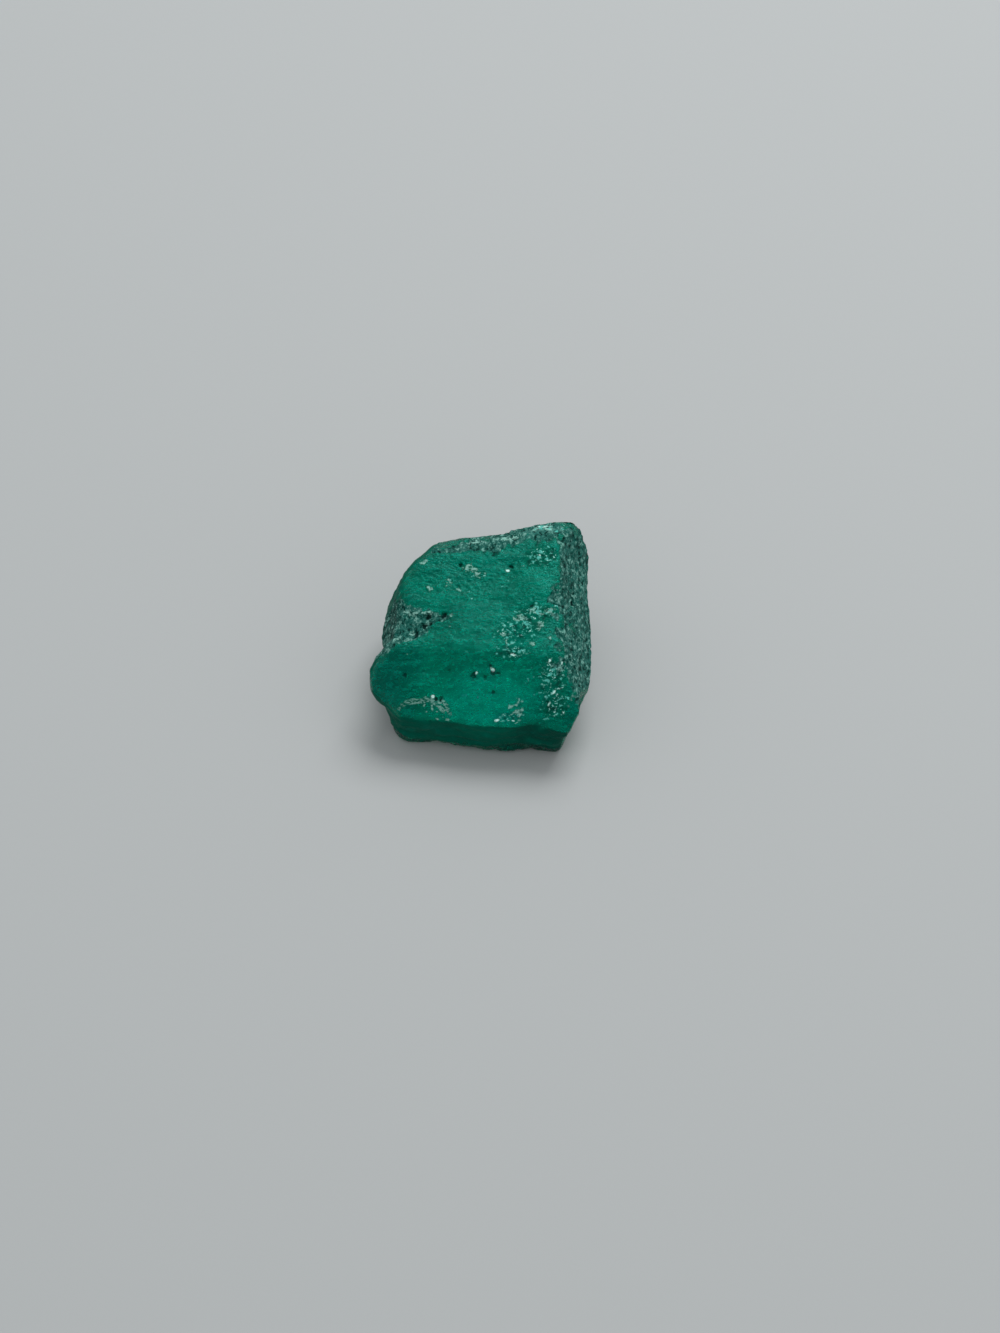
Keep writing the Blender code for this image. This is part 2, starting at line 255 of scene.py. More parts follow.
# Paler (above 0) and darker (below 0) areas of the body colour, as the marks above. The glows on
# the front slope and the table are painted light that comes back up through the stone, the left
# rim is a painted highlight, the left shoulder and the ridge carry painted shade, and the rest
# is paler and darker tone.
SHADES = {
    "front_glow": (0.40, -4.15, 2.60, 1.05, 0, 0.95),
    "slope_glow": (-0.60, -3.84, 0.75, 0.36, -20, 1.10),
    "slope_glow_right": (0.95, -3.75, 0.60, 0.30, 0, 0.85),
    "front_glow_left": (-0.90, -4.75, 1.50, 0.35, 0, 0.35),
    "right_glow": (1.60, -1.60, 1.60, 1.20, 0, 0.30),
    "left_rim": (-5.50, -2.60, 0.35, 0.80, 0, 0.45),
    "left_shoulder_shade": (-4.40, -3.10, 1.30, 1.20, 0, -0.55),
    "under_ridge_shade": (-0.30, -2.70, 2.20, 0.30, 0, -0.35),
    "ridge_shade_line": (0.45, -2.36, 1.50, 0.08, -2, -0.80),
    "ledge_glow": (3.10, 4.45, 1.10, 0.45, 0, 0.60),
    "band_border": (3.85, 2.00, 0.55, 2.60, 0, -0.55),
    "band_border_low": (3.70, -1.60, 0.50, 1.40, 0, -0.45),
    "back_right": (1.10, 3.05, 1.60, 0.50, 0, -0.40),
    "table": (0.00, 1.60, 4.60, 2.80, 0, -0.32),
    "ledge": (0.40, 4.60, 2.40, 0.90, 0, -0.45),
    "corner": (4.70, 4.60, 0.70, 0.60, 0, -0.30),
    "step": (3.60, -4.80, 0.55, 0.25, 0, -0.45),
    "right_low": (3.30, -3.30, 1.00, 0.60, 0, -0.20),
}
# Thin pale lips where a flake has come off: the points that each follows, and its width, in
# mm, then the share of the width that is palest, and how far they wander.
CHIP_LIPS = {
    "arc": (((-4.18, -4.30), (-3.80, -4.14), (-3.48, -4.10), (-2.66, -4.02), (-1.95, -4.14),
             (-1.72, -4.36), (-1.58, -4.62)), 0.15),
    "arc_inner": (((-2.55, -4.06), (-2.20, -4.28), (-1.90, -4.52)), 0.12),
}
LIP_CORE, LIP_WANDER = 0.2, 0.06
# The scar below the arc, in mm: its lower corners, where its wall starts and ends, and how far
# the ground has dropped.
SCAR_CORNERS = ((-2.4, -5.4), (-3.6, -5.2))
SCAR_WALL = (-0.05, 0.07)
SCAR_DROP = 0.05
# How many times the surface's directions are evened out to tell one side from the next, and
# then one large face from the next.
CRISP_ROUNDS = 3
LARGE_ROUNDS = 12
# Edges are rounded by evening the surface out this many times, the ones between the upper
# faces many times, and nicked up to a depth in mm.
ROUNDING_ROUNDS = 16
SOFT_ROUNDS = 80
MOST_WEAR = 0.10
# How far an edge goes towards its rounded shape: at least, how much more in places, how much
# of it the front edge is spared, and how far the upper faces go towards their softest shape.
LEAST_ROUNDING, MORE_ROUNDING = 0.35, 0.45
CRISP_FRONT = 0.6
SOFT_SHARE = 0.8
# Where the stone is fuller than its flat faces: middle and radius, then how far it swells, in
# mm.
SWELLS = {
    "upper_corner": ((4.95, 4.95, 5.6), 1.9, (0.32, 0.30, 0.02)),
    "ledge_left": ((-0.5, 4.6, 6.1), 1.4, (0.0, 0.24, 0.03)),
    "back_rim_middle": ((1.1, 4.9, 6.1), 1.7, (0.0, 0.16, 0.04)),
    "back_rim_right": ((3.1, 5.0, 6.2), 1.8, (0.0, 0.34, 0.04)),
    "left_rim_back": ((-2.5, 3.7, 6.0), 1.4, (-0.16, 0.08, 0.02)),
    "left_rim_middle": ((-3.5, 2.6, 5.7), 1.5, (-0.32, 0.06, 0.02)),
    "left_rim_front": ((-4.3, 1.3, 5.1), 1.5, (-0.34, 0.04, 0.02)),
    "left_bulge": ((-5.5, -2.7, 3.2), 1.7, (-0.07, 0.0, 0.0)),
    "right_edge": ((5.6, -0.4, 3.2), 2.8, (0.09, 0.0, 0.0)),
    "front_edge": ((0.2, -5.1, 2.8), 2.6, (0.0, -0.16, -0.24)),
    "base_front": ((0.3, -4.4, 0.2), 3.0, (0.0, -0.34, 0.0)),
    "base_left": ((-3.6, -3.4, 0.3), 2.2, (-0.30, -0.16, 0.0)),
}
# Steep sides in their own shade: azimuth and elevation that they face, and how far from that
# a surface may face, in degrees.
SHADED_SIDES = {
    "under": ((-96, -16, 26, 40), (-139, -17, 20, 32)),
    "rim": ((160, 26, 16, 34),),
}
# Creases get crisper over this angle past the crease angle.
CREASE_RANGE = math.radians(40)
# The square etched step: lowest and highest corner in mm, its depth and the run of its walls.
SQUARE_STEP = ((3.20, -4.92), (4.22, -4.36), 0.07, 0.08)
# How far the surface may stand out from the box around the plain solid, in mm.
BOX_MARGIN = 0.03
# The noise in the finishes: how strong its finer waves are, how many times finer the second
# noise of the fine grain is than the first, and the share of the first.
GRAIN_ROUGHNESS = 0.6
FINER = 2.3
COARSE_SHARE = 0.65
# How strongly the finest bumps show on the breaks and in the frost.
HAMMERED_STRENGTH = 0.8
SPECK_STRENGTH = 0.9


class CrystalSettings(PropertyGroup):
    """Sizes and colours of the stone's surface."""

    body: FloatVectorProperty(
        name="Body green", description="Colour of the clear stone",
        subtype="COLOR", size=3, min=0, max=1, default=(0.0, 0.345, 0.218))
    deep: FloatVectorProperty(
        name="Deep green", description="Colour where the stone is thick or in its own shade",
        subtype="COLOR", size=3, min=0, max=1, default=(0.0, 0.170, 0.104))
    pale: FloatVectorProperty(
        name="Pale green", description="Colour where light comes back up through the stone",
        subtype="COLOR", size=3, min=0, max=1, default=(0.0, 0.76, 0.54))
    gloom: FloatVectorProperty(
        name="Gloom", description="Colour of the steep front, which no light reaches",
        subtype="COLOR", size=3, min=0, max=1, default=(0.0, 0.034, 0.030))
    skin: FloatVectorProperty(
        name="Skin green", description="Green of the thin skin around marks",
        subtype="COLOR", size=3, min=0, max=1, default=(0.0, 0.128, 0.079))
    skin_deep: FloatVectorProperty(
        name="Dark skin green", description="The same in deep shade",
        subtype="COLOR", size=3, min=0, max=1, default=(0.0, 0.055, 0.036))
    # Pale areas are painted glow, where light comes back up through the stone.
    skin_pale: FloatVectorProperty(
        name="Pale skin green", description="The same in pale areas",
        subtype="COLOR", size=3, min=0, max=1, default=(0.0, 0.200, 0.150))
    frost: FloatVectorProperty(
        name="Frost", description="Colour of the etched natural sides",
        subtype="COLOR", size=3, min=0, max=1, default=(0.009, 0.103, 0.082))
    frost_deep: FloatVectorProperty(
        name="Dark frost", description="Colour of thin frost over deep stone",
        subtype="COLOR", size=3, min=0, max=1, default=(0.001, 0.045, 0.035))
    frost_pale: FloatVectorProperty(
        name="Pale frost", description="Colour of the thickest frost",
        subtype="COLOR", size=3, min=0, max=1, default=(0.040, 0.190, 0.160))
    frost_light: FloatVectorProperty(
        name="Light specks", description="Colour of the light specks in the frost",
        subtype="COLOR", size=3, min=0, max=1, default=(0.160, 0.370, 0.315))
    frost_dark: FloatVectorProperty(
        name="Dark specks", description="Colour of the dark specks in the frost",
        subtype="COLOR", size=3, min=0, max=1, default=(0.001, 0.015, 0.012))
    haze: FloatVectorProperty(
        name="Haze", description="Colour of bruised, whitish spots and chip lips",
        subtype="COLOR", size=3, min=0, max=1, default=(0.23, 0.48, 0.41))
    # The flecks are small glints painted into the colour.
    fleck_glint: FloatVectorProperty(
        name="Flecks", description="Colour of the small glints in crushed ground",
        subtype="COLOR", size=3, min=0, max=1, default=(0.09, 0.46, 0.39))
    # Painted highlights: the glints are painted into the colour.
    painted_glint: FloatVectorProperty(
        name="Glints", description="Colour of the brightest points",
        subtype="COLOR", size=3, min=0, max=1, default=(0.60, 0.92, 0.85))
    # Painted shade inside the hollows, in the low spots of the grain and in the gaps between
    # flecks.
    hollow: FloatVectorProperty(
        name="Hollows", description="Colour inside the small steep hollows",
        subtype="COLOR", size=3, min=0, max=1, default=(0.004, 0.020, 0.018))
    gloss: FloatVectorProperty(
        name="Gloss", description="Colour of the reflections",
        subtype="COLOR", size=3, min=0, max=1, default=(0.0, 0.90, 0.72))
    roughness: FloatProperty(
        name="Roughness", description="Roughness of the glassy breaks",
        subtype="FACTOR", min=0, max=1, default=0.26)
    worn_roughness: FloatProperty(
        name="Worn roughness", description="Roughness of the worn bumps on the glassy breaks",
        subtype="FACTOR", min=0, max=1, default=0.39)
    frost_roughness: FloatProperty(
        name="Frost roughness", description="Roughness of the frosted ground",
        subtype="FACTOR", min=0, max=1, default=0.60)
    speck_roughness: FloatProperty(
        name="Speck roughness", description="Roughness of the light specks in the frost",
        subtype="FACTOR", min=0, max=1, default=0.42)
    shine: FloatProperty(
        name="Shine", description="Strength of the reflections on the glassy breaks",
        subtype="FACTOR", min=0, max=1, default=0.18)
    frost_shine: FloatProperty(
        name="Frost shine", description="Strength of the reflections on the frosted ground",
        subtype="FACTOR", min=0, max=1, default=0.08)
    clearness: FloatProperty(
        name="Clearness", description="Share of the light that goes into the stone",
        subtype="FACTOR", min=0, max=1, default=0.78)
    refraction: FloatProperty(
        name="Index of refraction", description="Beryl bends light by this much",
        min=1, max=3, default=1.577)
    depth_colour: FloatVectorProperty(
        name="Depth colour", description="Colour that the light takes on inside the stone",
        subtype="COLOR", size=3, min=0, max=1, default=(0.02, 0.62, 0.44))
    depth_density: FloatProperty(
        name="Depth density", description="How fast the stone absorbs light, per metre",
        min=0, max=5000, default=200)
    crease: FloatProperty(
        name="Crease angle", description="Faces that meet at more than this keep a crisp edge",
        subtype="ANGLE", min=0, max=math.pi, default=math.radians(45))
    levels: IntProperty(
        name="Fineness", description="Times that each face is divided into four",
        min=1, max=2, default=2)
    frost_relief: FloatProperty(
        name="Frost relief", description="Height of the etched grain on the natural sides",
        unit="LENGTH", subtype="DISTANCE", min=0, max=0.001, precision=5, default=0.00005)
    break_relief: FloatProperty(
        name="Break relief", description="Height of the ripples on the broken faces",
        unit="LENGTH", subtype="DISTANCE", min=0, max=0.001, precision=5, default=0.000045)
    shell_relief: FloatProperty(
        name="Shell relief", description="Height of the waves on the steep front break",
        unit="LENGTH", subtype="DISTANCE", min=0, max=0.001, precision=5, default=0.00012)
    hammered_relief: FloatProperty(
        name="Hammered relief", description="Height of the finest bumps on the glassy breaks",
        unit="LENGTH", subtype="DISTANCE", min=0, max=0.001, precision=5, default=0.00015)
    speck_relief: FloatProperty(
        name="Speck relief", description="Height of the specks on the frosted ground",
        unit="LENGTH", subtype="DISTANCE", min=0, max=0.001, precision=5, default=0.00009)


class StageSettings(PropertyGroup):
    """Floor, light and camera."""

    floor: FloatVectorProperty(
        name="Floor", description="Colour of the plain floor",
        subtype="COLOR", size=3, min=0, max=1, default=(0.43, 0.447, 0.450))
    floor_size: FloatProperty(
        name="Floor size", description="Width of the floor",
        unit="LENGTH", subtype="DISTANCE", min=0.01, default=3.0)
    floor_roughness: FloatProperty(
        name="Floor roughness", description="Roughness of the floor",
        subtype="FACTOR", min=0, max=1, default=0.7)
    floor_shine: FloatProperty(
        name="Floor shine", description="Strength of the reflections on the floor",
        subtype="FACTOR", min=0, max=1, default=0.2)
    sky: FloatVectorProperty(
        name="Surroundings", description="Colour of the plain surroundings",
        subtype="COLOR", size=3, min=0, max=1, default=(0.56, 0.575, 0.58))
    sky_strength: FloatProperty(
        name="Surroundings strength", description="Brightness of the surroundings",
        min=0, max=10, default=1.05)
    lamp_power: FloatProperty(
        name="Lamp power", description="Power of the large soft lamp",
        subtype="POWER", unit="POWER", min=0, max=100, default=0.78)
    lamp_turn: FloatProperty(
        name="Lamp direction", description="Direction of the lamp, turned from +X",
        subtype="ANGLE", min=-math.pi, max=math.pi, default=math.radians(65))
    lamp_height: FloatProperty(
        name="Lamp height", description="Angle of the lamp above the horizon",
        subtype="ANGLE", min=0, max=math.pi / 2, default=math.radians(55))
    lamp_size: FloatProperty(
        name="Lamp size", description="Width of the lamp",
        unit="LENGTH", subtype="DISTANCE", min=0.001, default=0.20)
    lens: FloatProperty(
        name="Lens", description="Focal length of the camera in mm on 36 mm film",
        subtype="DISTANCE_CAMERA", min=10, max=300, default=70.22)
    camera_place: FloatVectorProperty(
        name="Camera place", description="Where the camera stands",
        unit="LENGTH", subtype="TRANSLATION", size=3, precision=5,
        default=(0.00098, -0.08816, 0.10607))
    camera_tilt: FloatProperty(
        name="Camera tilt", description="How far the camera is tilted up from straight down",
        subtype="ANGLE", min=0, max=math.pi / 2, default=math.radians(40))


# ---------------------------------------------------------------------------- shape helpers

def facing(turn, rise):
    """The unit vector at a turn from +X and a rise from the horizontal."""
    level = math.cos(rise)
    return np.array((math.cos(turn) * level, math.sin(turn) * level, math.sin(rise)))


def angle_from(outward, azimuth, elevation):
    """How far each direction is from that of a side, in degrees."""
    side = facing(math.radians(azimuth), math.radians(elevation))
    return np.degrees(np.arccos(np.clip(outward @ side, -1, 1)))


def unit(vectors):
    """The same directions with a length of 1."""
    return vectors / np.linalg.norm(vectors, axis=1)[:, None]


def smooth_step(low, high, value):
    """0 below low, 1 above high, and an even curve between them, for arrays."""
    part = np.clip((value - low) / (high - low), 0.0, 1.0)
    return part * part * (3 - 2 * part)


def beyond(places, name, shift=0.0):
    """How far each place is past where something starts, from 0 to 1."""
    axis, start, full = STARTS[name]
    return smooth_step(start, full, places[:, axis] + shift)


def pattern(places, name):
    """The layers of smooth noise of a pattern, added up at each place."""
    total = np.zeros(len(places))
    for waves, strength, stretch in PATTERNS[name]:
        scaled = places * (np.array(stretch) * waves)
        total += strength * np.array([noise.noise(Vector(place)) for place in scaled])
    return total


def cells(places, size):
    """For each place, the offset from the middle of its cell and a random vector of the cell."""
    offsets = np.empty_like(places)
    chances = np.empty_like(places)
    for row, place in enumerate(places / size):
        middle = noise.voronoi(Vector(place))[1][0]
        offsets[row] = (Vector(place) - middle) * size
        chances[row] = noise.cell_vector(middle * CELL_SEED)
    return offsets, chances


def scattered_pits(places, name):
    """How deep the pits of one kind are at each place, as a share of the relief."""
    size, outer, inner, chance, axis, depth = PITS[name]
    offsets, chances = cells(places, size)
    pit = smooth_step(outer, inner, np.linalg.norm(offsets, axis=1))
    return depth * (pit * (chances[:, axis] > chance))


def outline_depth(places, corners):
    """How far each place, seen from above, is inside an outline; below 0 outside it."""
    flat = places[:, :Z]
    corners = np.array(corners)
    nearest = np.full(len(flat), np.inf)
    inside = np.zeros(len(flat), bool)
    for start, end in zip(corners, np.roll(corners, -1, axis=0)):
        nearest = np.minimum(nearest, line_distance(flat, start, end))
        spans = (start[Y] > flat[:, Y]) != (end[Y] > flat[:, Y])
        along, rise = end - start
        if rise:
            crossing = start[X] + (flat[:, Y] - start[Y]) * along / rise
            inside ^= spans & (flat[:, X] < crossing)
    return np.where(inside, nearest, -nearest)


def line_distance(flat, start, end):
    """Distance of each (x, y) from a straight line between two points."""
    along = end - start
    share = np.clip(((flat - start) @ along) / (along @ along), 0.0, 1.0)
    return np.linalg.norm(flat - start - share[:, None] * along, axis=1)


def spread_of(places, marks, wander, fade=(1.25, 0.35)):
    """The strongest of a set of oval marks at each place, with uneven edges."""
    total = np.zeros(len(places))
    for x, y, length, width, turn, strength in marks.values():
        angle = math.radians(turn)
        dx, dy = places[:, X] - x, places[:, Y] - y
        along = (dx * math.cos(angle) + dy * math.sin(angle)) / length
        across = (dy * math.cos(angle) - dx * math.sin(angle)) / width
        reach = np.hypot(along, across) * (1 + wander)
        share = strength * smooth_step(*fade, reach)
        total = np.where(np.abs(share) > np.abs(total), share, total)
    return total


def lip_spread(places, wander):
    """How near each place is to a chip lip, from 0 to 1."""
    share = np.zeros(len(places))
    for points, width in CHIP_LIPS.values():
        away = np.min([line_distance(places[:, :Z], np.array(start), np.array(end))
                       for start, end in zip(points, points[1:])], axis=0)
        away += LIP_WANDER * wander
        share = np.maximum(share, smooth_step(width, LIP_CORE * width, away))
    return share


# ---------------------------------------------------------------------------- the stone

def fine_copy(node, name, crease_angle, levels):
    """A finer copy of a node's mesh, rounded between its creases."""
    mesh = bmesh.new()
    mesh.from_mesh(node.data)
    bmesh.ops.remove_doubles(mesh, verts=mesh.verts[:], dist=WELD)
    crease = mesh.edges.layers.float.new("crease_edge")
    for edge in mesh.edges:
        turn = edge.calc_face_angle(0) - crease_angle
        edge[crease] = min(1.0, max(0.0, turn / CREASE_RANGE))
        edge.smooth = True
    data = bpy.data.meshes.new(name)
    mesh.to_mesh(data)
    mesh.free()
    stone = bpy.data.objects.new(name, data)
    bpy.context.scene.collection.objects.link(stone)
    finer = stone.modifiers.new("finer", "SUBSURF")
    finer.levels = finer.render_levels = levels
    graph = bpy.context.evaluated_depsgraph_get()
    stone.data = bpy.data.meshes.new_from_object(stone.evaluated_get(graph))
    stone.data.name = name
    stone.modifiers.clear()
    bpy.data.meshes.remove(data)
    return stone


def arrays(mesh):
    """The places in mm, the outward directions and the edges of a mesh."""
    count = len(mesh.vertices)
    places = np.empty(count * 3, np.float32)
    mesh.vertices.foreach_get("co", places)
    outward = np.array([vert.vector for vert in mesh.vertex_normals])
    ends = np.empty(len(mesh.edges) * 2, np.int32)
    mesh.edges.foreach_get("vertices", ends)
    return places.reshape(-1, 3).astype(float) / MM, outward, ends.reshape(-1, 2)


def averaged(values, ends, rounds):
    """Values at the points of a mesh, evened out with their neighbours."""
    touching = np.bincount(ends.ravel(), minlength=len(values))
    touching = touching.reshape((-1,) + (1,) * (values.ndim - 1))
    for _ in range(rounds):
        total = np.zeros_like(values)
        np.add.at(total, ends[:, 0], values[ends[:, 1]])
        np.add.at(total, ends[:, 1], values[ends[:, 0]])
        values = (values + total) / (1 + touching)
    return values


# ---------------------------------------------------------------------------- marks and relief

# In these, smooth_step is given the value where a share starts and the one where it is full.


def looks_up(outward, use):
    """Whether each place looks up far enough to carry something, from 0 to 1."""
    return smooth_step(*LOOKS_UP[use], outward[:, Z])


def frosting(places, outward):
    """How frosted the surface is: 1 on natural ground, 0 on a clean break."""
    wander = pattern(places, "natural_edge")
    angle = np.min([angle_from(outward, *side) for side in NATURAL_SIDES], axis=0)
    near, far = NATURAL_SPREAD
    share = smooth_step(far, near, angle + NATURAL_WANDER * wander)
    edge = pattern(places, "ground_edge")
    upper = looks_up(outward, "frosted_ground")
    for most, fade, corners in FROSTED_GROUND.values():
        depth = outline_depth(places, corners) + most * edge
        share = np.maximum(share, upper * smooth_step(-fade, fade, depth))
    return share * (1 - upper * spread_of(places, CLEARED, wander))


def lacy_haze(places, bruise, upper, wander, lace):
    """Whitish haze with holes in it, in the bruises and along the chip lips."""
    haze = smooth_step(0.0, 0.5, 0.6 * bruise + 0.85 * lace - 0.30)
    haze *= smooth_step(0.02, 0.2, bruise)
    lips = 0.62 * upper * lip_spread(places, wander) * smooth_step(-1.2, 0.0, lace)
    return np.maximum(haze, lips)


def shaded_sides(places, crisp, wander):
    """The shares of the steep shaded sides by name, and how deep in the shade each place is."""
    sides = {}
    for name, directions in SHADED_SIDES.items():
        sides[name] = np.max([smooth_step(far, near, angle_from(crisp, azimuth, elevation))
                              for azimuth, elevation, near, far in directions], axis=0)
    streaks = pattern(places, "streaks")
    gloom = 0.60 + 0.40 * beyond(places, "deep_gloom", 2 * wander)
    gloom *= np.maximum(sides["under"], sides["rim"]) * (1 - 0.5 * np.clip(streaks, 0, 1))
    sides["under"] *= 0.84 + 0.16 * beyond(places, "dark_under", 2 * wander)
    sides["shell"] = sides["under"] * beyond(places, "shell", 0.8 * streaks)
    return sides, gloom


def masks(places, outward, crisp):
    """Named shares of each effect over the surface, most of them between 0 and 1."""
    upper = looks_up(outward, "marks")
    wander, lace, crumbs = (pattern(places, name) for name in ("wander", "lace", "crumbs"))
    bruise = upper * spread_of(places, HAZE, wander)
    glitter = upper * spread_of(places, GLITTER, 0.6 * wander)
    fleck_glint = smooth_step(0.0, 0.32, 0.28 * glitter + crumbs - 0.50)
    # Painted glow (above 0) and painted shade (below 0), darkest where the steep sides are in
    # their own shade.
    shade = upper * spread_of(places, SHADES, 0.3 * wander, (1.7, 0.0))
    sides, gloom = shaded_sides(places, crisp, wander)
    return {
        "frost": smooth_step(0.25, 0.80, frosting(places, outward)
                             + 0.55 * pattern(places, "grit")),
        "haze": lacy_haze(places, bruise, upper, wander, lace),
        "fleck_glint": fleck_glint * smooth_step(0.05, 0.3, glitter),
        # Painted shade in the gaps between flecks and in the bruises.
        "gap_shade": smooth_step(0.15, 0.55, -crumbs) * np.maximum(glitter, 0.5 * bruise),
        "shade": np.where(gloom > 0, np.minimum(shade, -gloom), shade),
        "painted_glint": upper * spread_of(places, PAINTED_GLINTS, 1.2 * wander),
        "glitter": glitter,
        **sides}


def hollows(places):
    """How deep the placed hollows are, and the share of their depth, at each place."""
    depth = np.zeros(len(places))
    share = np.zeros(len(places))
    ragged = pattern(places, "ragged")
    for x, y, radius, deepest in HOLLOWS.values():
        away = np.hypot(places[:, X] - x, places[:, Y] - y) / radius + ragged
        part = smooth_step(1.0, 0.4, away)
        depth = np.maximum(depth, deepest * part)
        share = np.maximum(share, part)
    return depth, share


def etched_grain(places):
    """Relief of a natural side, as a share of its height: lumps, lines along Y and pits."""
    lumps = pattern(places, "etched")
    return lumps - scattered_pits(places, "etched_pits") - scattered_pits(places, "etched_nicks")


def broken_ripples(places):
    """Relief of a break, as a share of its height: shallow ripples and a few nicks."""
    return pattern(places, "ripples") - scattered_pits(places, "break_nicks")


def crushed_share(places, outward, glitter):
    """How crushed the ground is: where it glitters, and in patches out of sight below."""
    below = smooth_step(0.3, -0.2, outward[:, Z])
    hidden = below * smooth_step(0.1, 0.5, pattern(places, "hidden_crush"))
    return np.clip(np.maximum(glitter, 0.5 * hidden), 0, 1)


def crushed_facets(places):
    """Height in mm of small flat facets that each lean their own way."""
    offsets, chances = cells(places, FACET_WIDTH)
    leaning = (offsets * chances).sum(axis=1) * FACET_LEAN
    return np.clip(leaning, -FACET_RISE, FACET_RISE)


def square_step(places):
    """How deep the square etched step is, in mm."""
    low, high, depth, run = SQUARE_STEP
    middle = (np.array(low) + high) / 2
    half = (np.array(high) - low) / 2
    away = np.max(np.abs(places[:, :Z] - middle) - half, axis=1)
    return depth * smooth_step(run / 2, -run / 2, away)


def flake_scar(places):
    """How far the ground below the chip lip has dropped, in mm."""
    points, _ = CHIP_LIPS["arc"]
    return SCAR_DROP * smooth_step(*SCAR_WALL, outline_depth(places, points + SCAR_CORNERS))


def relief(places, outward, shares, settings):
    """How far the fine relief stands out from the surface, in mm."""
    frost = shares["frost"]
    crushed = crushed_share(places, outward, shares["glitter"])
    height = frost * etched_grain(places) * settings.frost_relief / MM
    height += (1 - frost) * broken_ripples(places) * settings.break_relief / MM
    height += crushed * (1 - 0.6 * frost) * crushed_facets(places)
    height += shares["under"] * settings.shell_relief / MM * pattern(places, "shell_waves")
    return height


def rounded(places, inner, outward, ends):
    """The places moved in at the edges: least along the front, most between the upper faces."""
    more = smooth_step(-0.3, 0.3, pattern(places, "rounding"))
    front_edge = beyond(places, "front") * beyond(places, "above_base")
    rounding = (LEAST_ROUNDING + MORE_ROUNDING * more) * (1 - CRISP_FRONT * front_edge)
    soft = SOFT_SHARE * looks_up(outward, "soft") * beyond(places, "behind_front")
    moved = places + (inner - places) * rounding[:, None]
    softest = averaged(inner, ends, SOFT_ROUNDS)
    return moved + (softest - moved) * soft[:, None]


def swollen(places, moved):
    """The moved places with the fuller parts of the stone pushed out, kept near its box."""
    for middle, radius, swell in SWELLS.values():
        away = np.linalg.norm(places - middle, axis=1) / radius
        moved = moved + np.array(swell) * smooth_step(1.0, 0.2, away)[:, None]
    low, high = (np.array(corner) / MM for corner in CAD_BOX)
    moved = np.clip(moved, low - BOX_MARGIN, high + BOX_MARGIN)
    moved[:, Z] = np.maximum(moved[:, Z], 0.0)
    return moved


def weather(stone, settings):
    """Adds the fine relief to the surface, and writes what it is made of at each point."""
    places, outward, ends = arrays(stone.data)
    crisp = averaged(outward, ends, CRISP_ROUNDS)
    large = unit(averaged(crisp, ends, LARGE_ROUNDS))
    shares = masks(places, large, unit(crisp))
    upper = looks_up(large, "hollows")
    depth, share = hollows(places)
    # The share of painted shade inside the hollows.
    shares["hollow"] = share * upper
    height = relief(places, large, shares, settings)
    height -= upper * (depth + square_step(places) + flake_scar(places))
    inner = averaged(places, ends, ROUNDING_ROUNDS)
    convex = ((places - inner) * outward).sum(axis=1)
    height -= np.clip(convex, 0, MOST_WEAR) * smooth_step(-0.2, 0.6, pattern(places, "wear"))
    height *= beyond(places, "off_floor")
    moved = rounded(places, inner, large, ends) + outward * height[:, None]
    moved = swollen(places, moved) * MM
    stone.data.vertices.foreach_set("co", moved.astype(np.float32).ravel())
    for name, values in shares.items():
        written = stone.data.attributes.new(name, "FLOAT", "POINT")
        written.data.foreach_set("value", values.astype(np.float32))
    stone.data.update()


def covered_faces(mesh):
    """Whether each face has a skin of frost, haze or flecks over the clear stone."""
    corners = np.empty(len(mesh.polygons) * 4, np.int32)
    mesh.polygons.foreach_get("vertices", corners)
    cover = np.zeros(len(mesh.vertices), np.float32)
    for name, weight in COVERS.items():
        values = np.empty(len(mesh.vertices), np.float32)
        mesh.attributes[name].data.foreach_get("value", values)
        cover = np.maximum(cover, values * weight)
    return cover[corners.reshape(-1, 4)].mean(axis=1) > LEAST_COVER


# ---------------------------------------------------------------------------- the finish

